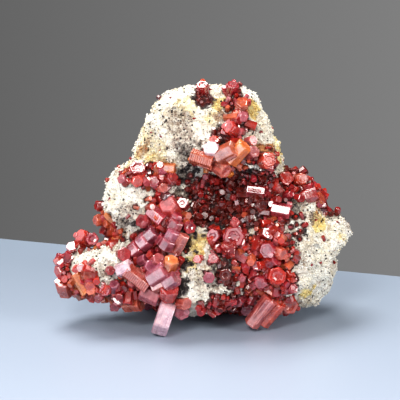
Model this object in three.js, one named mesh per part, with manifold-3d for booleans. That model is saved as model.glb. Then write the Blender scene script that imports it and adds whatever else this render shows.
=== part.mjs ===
// Vanadinite on matrix: red hexagonal crystals grown over a pale, crumbly rock.
// Millimetres, +Z up, the show side faces -Y. The origin is under the middle of the specimen.

import * as THREE from "three";
import { mergeVertices } from "three/addons/utils/BufferGeometryUtils.js";
import { ImprovedNoise } from "three/addons/math/ImprovedNoise.js";
import Module from "manifold-3d";

const CELL = 3.6; // spacing of the grid that the rock's surface is drawn on
const BLEND = 1.8; // how softly one lump of rock runs into the next
const SWELL = 1.1; // height of the rock's swells
const SWELL_PERIOD = 9; // and their spacing
const SWELL_START = 7.9; // where in the noise they begin, in periods
const CLEARANCE = 0.35; // gap between a crystal's root and the rock
const SLAB = { side: 200, thick: 40 }; // what is cut away under the specimen
const WELD = 1e-4; // points closer than this are one point
const SMALLEST_PIECE = 3; // cubic millimetres, and what is less is left out

// The rock is a heap of rounded lumps grown into one mass: middle and half-sizes.
const LUMPS = [
  { name: "core", at: [3, 5, 24], radii: [29, 21, 24] },
  { name: "back", at: [2, 14, 22], radii: [26, 14, 24] },
  { name: "foundation", at: [2, 10, 5], radii: [25, 13, 9] },
  { name: "crown", at: [3, 6, 52.4], radii: [17, 13, 15.5] },
  { name: "crown_left", at: [-6, 4, 50], radii: [14, 12, 15] },
  { name: "crown_left_top", at: [-5.5, 5, 62.5], radii: [8.5, 9, 7] },
  { name: "crown_right_top", at: [11, 7, 62], radii: [7, 8, 7] },
  { name: "crown_right", at: [14, 5, 49], radii: [7.5, 9, 11] },
  { name: "ledge", at: [7, -4, 50], radii: [15, 9.5, 5] },
  { name: "left_knob", at: [-21, -2, 36.5], radii: [9.5, 11, 10] },
  { name: "left_neck", at: [-16, 2, 44], radii: [7, 9, 8] },
  { name: "left_foot", at: [-27, -8, 15.5], radii: [14.5, 11, 8.5] },
  { name: "left_toe", at: [-38, -6, 14], radii: [5, 7, 5.5] },
  { name: "apron", at: [-2, -12, 16], radii: [17, 11, 11] },
  { name: "right_flank", at: [25, -5, 19], radii: [13, 15, 15] },
  { name: "right_wall", at: [35, 2, 21], radii: [7.5, 11, 9] },
  { name: "right_tip", at: [41, 3, 27], radii: [4, 7, 4.5] },
  { name: "right_heel", at: [32, 1, 11], radii: [7, 10, 8] },
  { name: "right_shoulder", at: [24, 2, 35.5], radii: [12, 12, 8] },
];

// Hollows that the crystals line.
const HOLLOWS = [
  { name: "vug", at: [4.5, -17, 39.5], radii: [13.5, 15, 10] },
  { name: "pocket", at: [8.5, -26, 21.5], radii: [4, 8, 4] },
];

// An observer at this distance looks down by TILT at the middle of the specimen, and turns about
// it. Each crystal sits where the observer sees it: across and up from the middle.
const MIDDLE = [-0.6, 0, 35.7];
const DISTANCE = 500;
const TILT = 15;

// A crystal is a hexagonal prism. across and up place it on the rock, out is how far its middle
// stands off the rock towards the observer, width is corner to corner, length is along the prism.
// yaw turns the prism's axis right from pointing at the observer, pitch lifts it, roll spins it.
//  name, across, up, out, width, length, yaw, pitch, roll
const FRONT = [
  ["upper_blade_top", -14.6, -10.4, 1.8, 5, 3.4, 78, 42, 15],
  ["upper_blade_middle", -16.8, -12.6, 1.9, 5.6, 3.2, 78, 42, 15],
  ["upper_blade_low", -19.5, -14.8, 1.7, 5, 3.4, 78, 42, 15],
  ["steep_blade_tip", -7.2, -5.4, 1.8, 3.8, 3, 76, 62, 10],
  ["steep_blade_top", -7.4, -7.6, 1.9, 4.6, 3.2, 76, 62, 10],
  ["steep_blade_middle", -8.4, -10.6, 2, 4.8, 3.4, 76, 62, 10],
  ["steep_blade_low", -9.9, -13.3, 1.9, 4.6, 3.2, 76, 62, 10],
  ["big_red_barrel", -8.9, -2.7, 0.6, 6.6, 6, -25, 45, 10],
  ["striated_red", -13, -4.6, 0.9, 5.2, 5.4, 62, -32, 20],
  ["round_red", -16.6, -6.4, 0.4, 4.6, 4.4, -35, 20, 0],
  ["leaning_block", -5.9, -13.2, 0.9, 3.6, 6.2, 80, 64, 0],
  ["magenta_hexagon", -3.4, -8.4, 0.2, 4, 4, 12, 22, 10],
  ["red_block", -23.1, -16.4, 0.5, 4.4, 4.4, 14, 20, 20],
  ["bright_block", -22.6, -20.6, 1.2, 4.6, 4.8, 72, 28, 22],
  ["ribbed_block", -18.6, -23.6, 1.2, 5.6, 8.2, 72, -33, 25],
  ["mauve_slab", -12.6, -22.6, 2, 5.6, 6.2, 74, 36, 20],
  ["mauve_slab_low", -8.7, -24.4, 1.4, 4.8, 4.4, 74, 36, 20],
  ["orange_block", -9, -19.4, 1, 4.4, 4.6, 25, 58, 10],
  ["pink_corner", -13, -18.4, 0.9, 4.2, 3.6, 40, 40, 15],
  ["pink_block", -14.9, -28.4, 1.3, 5.6, 5.8, 76, -20, 10],
  ["pink_wedge", -12.2, -25.6, 1.6, 3.8, 4.4, 76, 30, 15],
  ["hopper_barrel", -9.4, -27.8, 1.2, 5.4, 5, 12, 50, 0],
  ["orange_rough", -5.1, -31, 0.3, 4, 4.2, 40, 10, 10],
  ["left_orange_block", -20.1, -31, 0.9, 5.4, 5.6, 64, 12, 8],
  ["dark_mauve", -16.1, -31, 0.5, 4, 4.4, 20, -5, 10],
  ["foot_crest_red", -34.6, -11.6, 0.4, 5, 5.2, -40, 38, 10],
  ["foot_crest_hexagon", -32.4, -12, 0.8, 4, 5, 6, 24, 0],
  ["foot_bright_cube", -38.2, -14.9, 0.5, 3.8, 3.8, -12, 55, 20],
  ["foot_pink_upper", -40.9, -17.8, -0.6, 3.6, 4, -55, 20, 10],
  ["foot_pink_lower", -40.9, -21, -0.8, 4, 4.8, -50, -5, 10],
  ["foot_hopper", -40.3, -26, -0.4, 5.8, 5.4, -14, 62, 0],
  ["foot_orange_blade", -35.7, -25, 0.6, 3.4, 6.6, 66, -58, 10],
  ["foot_red_middle", -34.2, -22.4, 0.6, 3.8, 4.6, 22, 18, 15],
  ["foot_red_lower", -33.2, -25, 0.4, 3.6, 4.2, 10, -12, 0],
  ["foot_pink_face", -28.2, -27, 0.4, 3.4, 3.8, -12, 10, 10],
  ["foot_mauve_top", -25.7, -26.2, 0.6, 3.2, 3.6, 5, 52, 0],
  ["foot_mauve_hexagon", -24, -29.6, 0.4, 4.2, 4, -10, 28, 12],
  ["foot_under_pink", -25.4, -31.4, 0.3, 3.6, 4, 0, -12, 0],
  ["foot_under_red", -29.8, -28.4, 0.3, 3.4, 4, -20, -15, 10],
  ["knee_orange", -26, -11, 0.2, 3.2, 3.8, 20, 40, 0],
  ["knee_red", -28.1, -9.6, -0.2, 3.2, 4, -50, 30, 10],
  ["knob_edge_red", -29.3, -2, -0.8, 3.4, 4.4, -62, 12, 0],
  ["knob_foot_orange", -29.5, -6, -0.8, 3.8, 4.8, -55, 5, 10],
  ["band_leaf", -18.6, 8.8, 0.2, 5, 4, -12, 52, 0],
  ["band_red_low", -19, 5.4, 0.1, 3.8, 4, 8, 22, 15],
  ["band_mauve_top", -11.6, 8.6, 0, 3.2, 3.8, 30, 35, 0],
  ["band_mauve_low", -13.6, 5.2, 0.2, 3.6, 3.8, -15, 25, 10],
  ["band_orange_low", -11.9, 3.8, 0.3, 3.2, 4, 35, 10, 0],
  ["band_orange_bar", -9.3, 9.6, 0.4, 3.2, 4, 74, 0, 20],
  ["band_deep_red", -8.7, 6.2, 0.1, 4.2, 4.4, 20, 30, 0],
  ["vug_left_red", -10.5, 1, 0.1, 3.8, 4.4, 30, 0, 10],
  ["vug_floor_red", -5, -1.4, 0.2, 3.6, 4.4, -10, 30, 0],
  ["ledge_left_orange", 0.6, 12.3, 0.9, 5, 6.8, 74, -14, 20],
  ["ledge_middle_orange", 6, 9.8, 0.7, 5, 5.6, 40, -16, 5],
  ["ledge_blade", 7.9, 14.2, 1.4, 5.6, 6.4, 66, 30, 25],
  ["ledge_blade_right", 11.3, 14, 1.2, 5, 7, 74, 48, 15],
  ["ledge_lilac_face", 3.5, 14.6, 0.5, 5, 4, -14, 50, 0],
  ["ledge_pink", 15.5, 14, 0.3, 3.8, 4, 30, 30, 0],
  ["ledge_red", 19.6, 12, 0, 5, 5.4, 25, 12, 10],
  ["crown_red_barrel", 9.5, 21.2, 0.5, 4.6, 5, -32, 34, 12],
  ["crown_mauve_hexagon", 12.6, 25, 0.3, 3.6, 4, 8, 12, 0],
  ["crown_orange", 12.5, 28, 0.2, 4.2, 4.4, 10, 50, 10],
  ["crown_top_red_left", 0.8, 33, 0, 3.6, 4.6, -10, 60, 0],
  ["crown_top_red_right", 9.5, 33, 0, 4, 4.8, 20, 58, 10],
  ["shoulder_red", 25.4, 6.4, -0.5, 4.6, 5, 18, 22, 0],
  ["shoulder_orange", 29.4, 5.8, -0.5, 4.2, 5, 34, 24, 10],
  ["shoulder_pink", 32.3, 3.4, -0.6, 3, 4, 60, 20, 0],
  ["vug_bright_bar", 16.8, 2.6, 0.8, 4.2, 5.4, 78, -4, 0],
  ["vug_right_red", 18, -1.8, 0.4, 4.2, 4.6, 10, 15, 10],
  ["flank_bright_bar", 24.3, -3.1, 0.7, 4.4, 5.6, 76, -8, 4],
  ["flank_leaf", 23.1, -10.8, 0.1, 3.6, 4, 42, 8, 0],
  ["flank_red_inner", 19.4, -10.2, 0.2, 3.4, 4, 25, 25, 10],
  ["rosette", 10, -11.1, 0.6, 6.4, 4.6, 4, 18, 8],
  ["rosette_plates", 8.8, -14.8, 0.5, 4.8, 4.6, -5, 62, 20],
  ["rosette_crest", 10.4, -7.4, 0.3, 3.4, 3.8, 5, 40, 0],
  ["rosette_left", 4.5, -10.7, 0.4, 4.2, 4, -22, 16, 0],
  ["apron_red", 4.2, -17.7, 0.2, 3.4, 3.8, -8, 22, 10],
  ["apron_mauve_hexagon", 2.6, -23.2, 0.2, 3.6, 4, 4, 14, 0],
  ["pocket_dark_hexagon", 7.3, -22.4, 0.3, 4, 4.2, 8, 12, 10],
  ["flank_mauve_face", 20.8, -14.9, 0.8, 5.2, 4, -26, 6, 12],
  ["flank_mauve_side", 18, -13.8, 0.3, 3.6, 4, -50, 20, 0],
  ["flank_orange_side", 23.5, -15.8, 0.4, 4.2, 4.4, 42, -5, 0],
  ["flank_big_hexagon", 22.7, -22.6, 0.6, 5.8, 4.8, 12, 10, 14],
  ["flank_deep_hexagon", 18.6, -24.2, 0.5, 4.4, 4.6, -14, -2, 0],
  ["flank_pink_slab", 21.6, -18.4, 0.4, 3.8, 3.8, 50, 30, 0],
  ["flank_pink_hexagon", 17.2, -19.7, 0.4, 3.2, 3.6, -10, 18, 0],
  ["heel_red_hexagon", 26.3, -31.2, 0.3, 5.8, 4.8, 14, 4, 0],
  ["heel_pink", 23.1, -32, 0.2, 4, 4.6, 30, -10, 0],
  ["apron_edge_pink", 12, -30, 0.2, 3.8, 4.4, -24, -4, 0],
  ["apron_edge_mauve", 14.2, -32.2, 0.3, 4, 4.6, -8, -14, 8],
];

// Seen from the right, from behind and from the left, where the rock is barer.
const RIGHT = [
  ["right_side_red", -6, -6, 0.2, 4.4, 4.8, 10, 15, 0],
  ["right_side_orange", -3, -9, 0.2, 4, 4.4, -20, 30, 10],
  ["right_side_small", 10, 4, 0.1, 3.4, 4, 20, 20, 0],
];
const BACK = [
  ["back_red_upper", 6, 14, 0.4, 5, 5, 15, 30, 0],
  ["back_orange_upper", 2, 12, 0.3, 4.2, 4.6, -20, 10, 10],
  ["back_pink_upper", 9, 10, 0.2, 3.8, 4.4, 30, 10, 0],
  ["back_red_lower", -14, -14, 0.4, 5.2, 5, -15, 20, 0],
  ["back_mauve_lower", -18, -12, 0.3, 4.4, 4.6, 10, 35, 12],
  ["back_small_lower", -11, -18, 0.2, 3.8, 4.2, 25, 0, 0],
];
const LEFT = [
  ["left_side_red", -14, -2, 0.2, 4.2, 4.8, -10, 25, 0],
  ["left_side_orange", 2, -16, 0.3, 4.4, 4.8, 15, 20, 10],
  ["left_side_pink", -4, -21, 0.3, 4, 4.6, -15, 5, 0],
];

// The crystals that hang under the front and stand on their corners, placed by their middles.
//  name, middle, width, length, yaw, pitch, roll
const HANGING = [
  ["hanging_plate", [-11, -20, 5.7], 12, 4.6, 84, -18, 10],
  ["hanging_plate_neighbour", [-6.4, -18.4, 6.6], 4.8, 6.4, 10, 16, 20],
  ["slanting_blade", [17.4, -17, 6.2], 5, 10.4, 84, 55, 15],
  ["slanting_blade_right", [20.6, -16.4, 5.2], 4, 8.6, 84, 52, 20],
];

// The crystals' colours, by the words in their names.
const TINTS = [
  { words: /orange|ledge|slanting|hopper/, color: 0xc4482c },
  { words: /mauve|pink|plate|bright/, color: 0xac6678 },
  { words: /./, color: 0xa5222c },
];

const REACH = { low: [-51, -42, -16.2], high: [54, 39, 81] }; // box that the rock lies in

const wasm = await Module();
wasm.setup();
const noise = new ImprovedNoise();

// About how far a point is outside a lump, in millimetres.
function beyond(point, { at, radii }) {
  const x = (point[0] - at[0]) / radii[0];
  const y = (point[1] - at[1]) / radii[1];
  const z = (point[2] - at[2]) / radii[2];
  const share = Math.hypot(x, y, z);
  const slope = Math.hypot(x / radii[0], y / radii[1], z / radii[2]);
  return slope > 0 ? (share * (share - 1)) / slope : -Math.min(...radii);
}

function softly(distances) {
  return -BLEND * Math.log(distances.reduce((sum, d) => sum + Math.exp(-d / BLEND), 0));
}

// Negative inside the rock, positive outside.
function rockField(point) {
  const mass = softly(LUMPS.map((lump) => beyond(point, lump)));
  const swell = SWELL * 2 * noise.noise(...point.map((v) => v / SWELL_PERIOD + SWELL_START));
  const hollowed = HOLLOWS.reduce((field, hollow) => -softly([-field, beyond(point, hollow)]), mass);
  return hollowed + swell;
}

// A closed mesh of the surface where field is 0: one point in each grid cell that the surface
// passes through, at the mean of its crossings of the cell's edges, joined across each grid edge.
function surfaceOf(field, { low, high }, cell) {
  const counts = low.map((v, axis) => Math.round((high[axis] - v) / cell) + 1);
  const index = (i, j, k) => (k * counts[1] + j) * counts[0] + i;
  const place = (i, j, k) => [low[0] + i * cell, low[1] + j * cell, low[2] + k * cell];
  const values = new Float64Array(counts[0] * counts[1] * counts[2]);
  for (let k = 0; k < counts[2]; k++)
    for (let j = 0; j < counts[1]; j++)
      for (let i = 0; i < counts[0]; i++) values[index(i, j, k)] = field(place(i, j, k));

  const positions = [];
  const pointIn = new Map();
  const corners = [0, 1, 2, 3, 4, 5, 6, 7].map((c) => [c & 1, (c >> 1) & 1, (c >> 2) & 1]);
  for (let k = 0; k < counts[2] - 1; k++)
    for (let j = 0; j < counts[1] - 1; j++)
      for (let i = 0; i < counts[0] - 1; i++) {
        const sum = [0, 0, 0];
        let crossings = 0;
        corners.forEach((a, ai) =>
          corners.slice(ai + 1).forEach((b) => {
            if (Math.abs(a[0] - b[0]) + Math.abs(a[1] - b[1]) + Math.abs(a[2] - b[2]) !== 1) return;
            const va = values[index(i + a[0], j + a[1], k + a[2])];
            const vb = values[index(i + b[0], j + b[1], k + b[2])];
            if (va < 0 === vb < 0) return;
            const t = va / (va - vb);
            sum.forEach((_, axis) => (sum[axis] += a[axis] + t * (b[axis] - a[axis])));
            crossings++;
          }),
        );
        if (!crossings) continue;
        pointIn.set(index(i, j, k), positions.length / 3);
        const corner = place(i, j, k);
        sum.forEach((s, axis) => positions.push(corner[axis] + (cell * s) / crossings));
      }

  const quads = [];
  const steps = [[1, 0, 0], [0, 1, 0], [0, 0, 1]];
  for (let k = 1; k < counts[2] - 1; k++)
    for (let j = 1; j < counts[1] - 1; j++)
      for (let i = 1; i < counts[0] - 1; i++)
        steps.forEach((step, axis) => {
          const here = values[index(i, j, k)] < 0;
          const next = values[index(i + step[0], j + step[1], k + step[2])] < 0;
          if (here === next) return;
          const u = steps[(axis + 1) % 3];
          const v = steps[(axis + 2) % 3];
          const around = [[0, 0], [1, 0], [1, 1], [0, 1]].map(([a, b]) =>
            pointIn.get(index(i - a * u[0] - b * v[0], j - a * u[1] - b * v[1], k - a * u[2] - b * v[2])),
          );
          quads.push(here ? around : around.reverse());
        });

  const even = relaxed(positions, quads);
  const apart = (a, b) => Math.hypot(...[0, 1, 2].map((axis) => even[3 * a + axis] - even[3 * b + axis]));
  const triangles = quads.flatMap(([p, q, r, s]) =>
    apart(p, r) < apart(q, s) ? [p, q, r, p, r, s] : [q, r, s, q, s, p],
  );
  const geometry = new THREE.BufferGeometry();
  geometry.setAttribute("position", new THREE.Float32BufferAttribute(even, 3));
  geometry.setIndex(triangles);
  return geometry;
}

// Each point halfway to the mean of its neighbours, which evens the mesh out.
function relaxed(positions, quads) {
  const neighbours = Array.from({ length: positions.length / 3 }, () => new Set());
  quads.forEach((quad) => quad.forEach((point, at) => neighbours[point].add(quad[(at + 1) % 4])));
  return positions.map((value, at) => {
    const around = [...neighbours[Math.floor(at / 3)]];
    const mean = around.reduce((sum, other) => sum + positions[other * 3 + (at % 3)], 0) / around.length;
    return (value + mean) / 2;
  });
}

function solidOf(geometry) {
  const bare = geometry.clone();
  bare.deleteAttribute("normal");
  bare.deleteAttribute("uv");
  const merged = mergeVertices(bare, WELD);
  return new wasm.Manifold(
    new wasm.Mesh({
      numProp: 3,
      vertProperties: merged.attributes.position.array,
      triVerts: new Uint32Array(merged.index.array),
    }),
  );
}

function geometryOf(solid) {
  const mesh = solid.getMesh();
  const geometry = new THREE.BufferGeometry();
  geometry.setAttribute("position", new THREE.BufferAttribute(new Float32Array(mesh.vertProperties), 3));
  geometry.setIndex(new THREE.BufferAttribute(new Uint32Array(mesh.triVerts), 1));
  geometry.computeVertexNormals();
  return geometry;
}

// Everything below a level, as a slab.
function below(level) {
  const slab = new THREE.BoxGeometry(SLAB.side, SLAB.side, SLAB.thick);
  return solidOf(slab.translate(0, 0, level - SLAB.thick / 2));
}

// The rock, cut off flat at z 0 where it stands. grow makes it larger all round.
function rock(grow = 0) {
  const mass = solidOf(surfaceOf((point) => rockField(point) - grow, REACH, CELL));
  return mass.subtract(below(-grow));
}

// A direction that is yaw to the right of the observer's side at turn 0, and lifted by pitch.
function direction(yaw, pitch) {
  const [turn, lift] = [yaw, pitch].map(THREE.MathUtils.degToRad);
  return new THREE.Vector3(
    Math.sin(turn) * Math.cos(lift),
    -Math.cos(turn) * Math.cos(lift),
    Math.sin(lift),
  );
}

// The hexagonal prism of one crystal, as a solid.
function prism(middle, width, length, yaw, pitch, roll) {
  const axis = direction(yaw, pitch);
  const side = new THREE.Vector3(0, 0, 1).cross(axis).normalize();
  const top = axis.clone().cross(side);
  const shape = new THREE.CylinderGeometry(width / 2, width / 2, length, 6);
  shape.rotateY(THREE.MathUtils.degToRad(roll));
  shape.applyMatrix4(new THREE.Matrix4().makeBasis(top, axis, side).setPosition(middle));
  return solidOf(shape);
}

// Where a ray meets the rock, or where it passes closest to one of the rock's points.
function seatOn(target, ray) {
  const [hit] = ray.intersectObject(target);
  if (hit) return hit.point;
  const points = target.geometry.attributes.position;
  let closest = Infinity;
  const seat = new THREE.Vector3();
  for (let i = 0; i < points.count; i++) {
    const point = new THREE.Vector3().fromBufferAttribute(points, i);
    const gap = ray.ray.distanceToPoint(point);
    if (gap >= closest) continue;
    closest = gap;
    ray.ray.closestPointToPoint(point, seat);
  }
  return seat;
}

// Places one table of crystals on the rock, as an observer who has gone round by turn sees them.
function seated(rows, turn, target) {
  const towards = direction(turn, TILT);
  const right = new THREE.Vector3(0, 0, 1).cross(towards).normalize();
  const above = towards.clone().cross(right);
  const middle = new THREE.Vector3(...MIDDLE);
  const eye = middle.clone().addScaledVector(towards, DISTANCE);
  return rows.map(([name, across, up, out, width, length, yaw, pitch, roll]) => {
    const aim = middle.clone().addScaledVector(right, across).addScaledVector(above, up);
    const ray = new THREE.Raycaster(eye, aim.sub(eye).normalize());
    const seat = seatOn(target, ray).addScaledVector(ray.ray.direction, -out);
    return { name, solid: prism(seat, width, length, turn + yaw, pitch, roll) };
  });
}

const matrix = rock();
const specimen = new THREE.Group();
const stone = new THREE.MeshStandardMaterial({ color: 0xe9e0cd, roughness: 0.95, metalness: 0 });
const rockMesh = new THREE.Mesh(geometryOf(matrix), stone);
rockMesh.name = "matrix_rock";
specimen.add(rockMesh);

const crystals = [
  ...seated(FRONT, 0, rockMesh),
  ...seated(RIGHT, 90, rockMesh),
  ...seated(BACK, 180, rockMesh),
  ...seated(LEFT, 270, rockMesh),
  ...HANGING.map(([name, middle, ...sizes]) => ({
    name,
    solid: prism(new THREE.Vector3(...middle), ...sizes),
  })),
];

// Crystals that have grown into each other are one piece, cut back where the rock is.
const grown = crystals
  .reduce((sum, { solid }) => sum.add(solid), crystals[0].solid)
  .subtract(rock(CLEARANCE))
  .subtract(below(0));

// Each piece takes the name and colour of the crystal that it holds most of.
grown.decompose().forEach((piece) => {
  if (piece.volume() < SMALLEST_PIECE) return;
  const shares = crystals.map(({ solid }) => piece.intersect(solid).volume());
  const { name } = crystals[shares.indexOf(Math.max(...shares))];
  const members = shares.filter((share) => share > SMALLEST_PIECE).length;
  const { color } = TINTS.find(({ words }) => words.test(name));
  const material = new THREE.MeshStandardMaterial({ color, roughness: 0.2, metalness: 0 });
  const mesh = new THREE.Mesh(geometryOf(piece), material);
  mesh.name = members > 1 ? `${name}_group` : name;
  specimen.add(mesh);
});

// The origin goes under the middle of the whole.
const middle = new THREE.Box3().setFromObject(specimen).getCenter(new THREE.Vector3());
specimen.position.set(-middle.x, -middle.y, 0);

export default specimen;
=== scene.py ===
"""Vanadinite on matrix: the finished specimen, built around its CAD frame."""

import math
import random

import bpy
import numpy as np
from mathutils import Matrix, Vector, noise
from mathutils.bvhtree import BVHTree
from mathutils.kdtree import KDTree


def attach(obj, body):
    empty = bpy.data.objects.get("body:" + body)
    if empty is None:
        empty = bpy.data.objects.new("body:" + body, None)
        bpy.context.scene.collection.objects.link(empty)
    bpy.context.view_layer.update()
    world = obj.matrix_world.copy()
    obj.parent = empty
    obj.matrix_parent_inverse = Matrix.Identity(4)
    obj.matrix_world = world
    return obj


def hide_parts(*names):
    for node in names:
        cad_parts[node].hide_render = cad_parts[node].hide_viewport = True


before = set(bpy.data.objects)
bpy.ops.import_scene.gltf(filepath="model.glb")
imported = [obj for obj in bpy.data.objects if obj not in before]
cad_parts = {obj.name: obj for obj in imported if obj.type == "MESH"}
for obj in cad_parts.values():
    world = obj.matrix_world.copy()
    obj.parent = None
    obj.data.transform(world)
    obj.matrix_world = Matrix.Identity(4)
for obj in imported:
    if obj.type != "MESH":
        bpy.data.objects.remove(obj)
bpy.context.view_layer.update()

MM = 0.001
SEED = 7

# ---- the observer
# The CAD model puts its crystals where an observer sees them: across and up, in millimetres,
# from the middle of the specimen, at this distance and looking down by this many degrees.
SHIFT = Vector((0.30, -2.23, 0.0)) * MM  # the CAD model was moved by this, to centre it
MIDDLE = Vector((-0.6, 0.0, 35.7)) * MM + SHIFT
DISTANCE = 500 * MM
TILT = 15


def direction(yaw, pitch):
    """The way a crystal or an observer at this yaw and pitch points; yaw 0 is -Y."""
    turn, lift = math.radians(yaw), math.radians(pitch)
    flat = math.cos(lift)
    return Vector((math.sin(turn) * flat, -math.cos(turn) * flat, math.sin(lift)))


class Observer:
    """Looks at the middle of the specimen after going round it by turn degrees."""

    def __init__(self, turn):
        self.towards = direction(turn, TILT)
        self.right = Vector((0, 0, 1)).cross(self.towards).normalized()
        self.above = self.towards.cross(self.right)
        self.eye = MIDDLE + self.towards * DISTANCE

    def ray(self, across, up):
        aim = MIDDLE + (self.right * across + self.above * up) * MM
        return (aim - self.eye).normalized()


FRONT, RIGHT, BACK, LEFT = SIDES = (0, 90, 180, 270)
OBSERVERS = {turn: Observer(turn) for turn in SIDES}


def rows_of(table):
    """The rows of a table kept by side, each with its side's turn in front."""
    return [(turn, *row) for turn, rows in table.items() for row in rows]


def linked(name, data):
    """A new object in the scene."""
    thing = bpy.data.objects.new(name, data)
    bpy.context.collection.objects.link(thing)
    return thing


def paint(mesh, name, values):
    """Gives each point of a mesh a colour, where values has rows of four, or else a number."""
    values = np.asarray(values, np.float32)
    kind, field = ("FLOAT_COLOR", "color") if values.ndim > 1 else ("FLOAT", "value")
    mesh.attributes.new(name, kind, "POINT").data.foreach_set(field, values.ravel())


def tree_of(mesh):
    points = [v.co.copy() for v in mesh.vertices]
    return BVHTree.FromPolygons(points, [tuple(p.vertices) for p in mesh.polygons])


cad_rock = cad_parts["matrix_rock"]
cad_rock_tree = tree_of(cad_rock.data)
cad_rock_points = np.array([v.co for v in cad_rock.data.vertices])


def cad_seat(observer, across, up):
    """Where the observer's line meets the CAD rock, or passes closest to one of its points."""
    ray = observer.ray(across, up)
    hit = cad_rock_tree.ray_cast(observer.eye, ray)[0]
    if hit is not None:
        return hit
    eye, way = np.array(observer.eye), np.array(ray)
    along = (cad_rock_points - eye) @ way
    gaps = np.linalg.norm(cad_rock_points - eye - along[:, None] * way, axis=1)
    return observer.eye + ray * float(along[gaps.argmin()])


# ---- colours of the crystals
# DEEP: red darkened almost to black, painted shade on crystals in the vug and the pocket
DEEP = (0.055, 0.002, 0.006)
RED = (0.330, 0.008, 0.014)
SCARLET = (0.500, 0.022, 0.013)
ROSE = (0.390, 0.020, 0.044)
# PINK_SHEEN and MAUVE_SHEEN: the crystals' red, whitened by painted reflection of pale light
PINK_SHEEN = (0.560, 0.110, 0.120)
MAUVE_SHEEN = (0.400, 0.085, 0.130)
ORANGE = (0.600, 0.100, 0.050)
AMBER = (0.780, 0.230, 0.040)
# BLUSH_SHEEN and LILAC_SHEEN: pale pink and pale lilac, painted reflection and glint on crystals
# whose faces mirror the light
BLUSH_SHEEN = (0.780, 0.440, 0.450)
LILAC_SHEEN = (0.900, 0.700, 0.740)
SALMON = (0.600, 0.150, 0.110)

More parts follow.
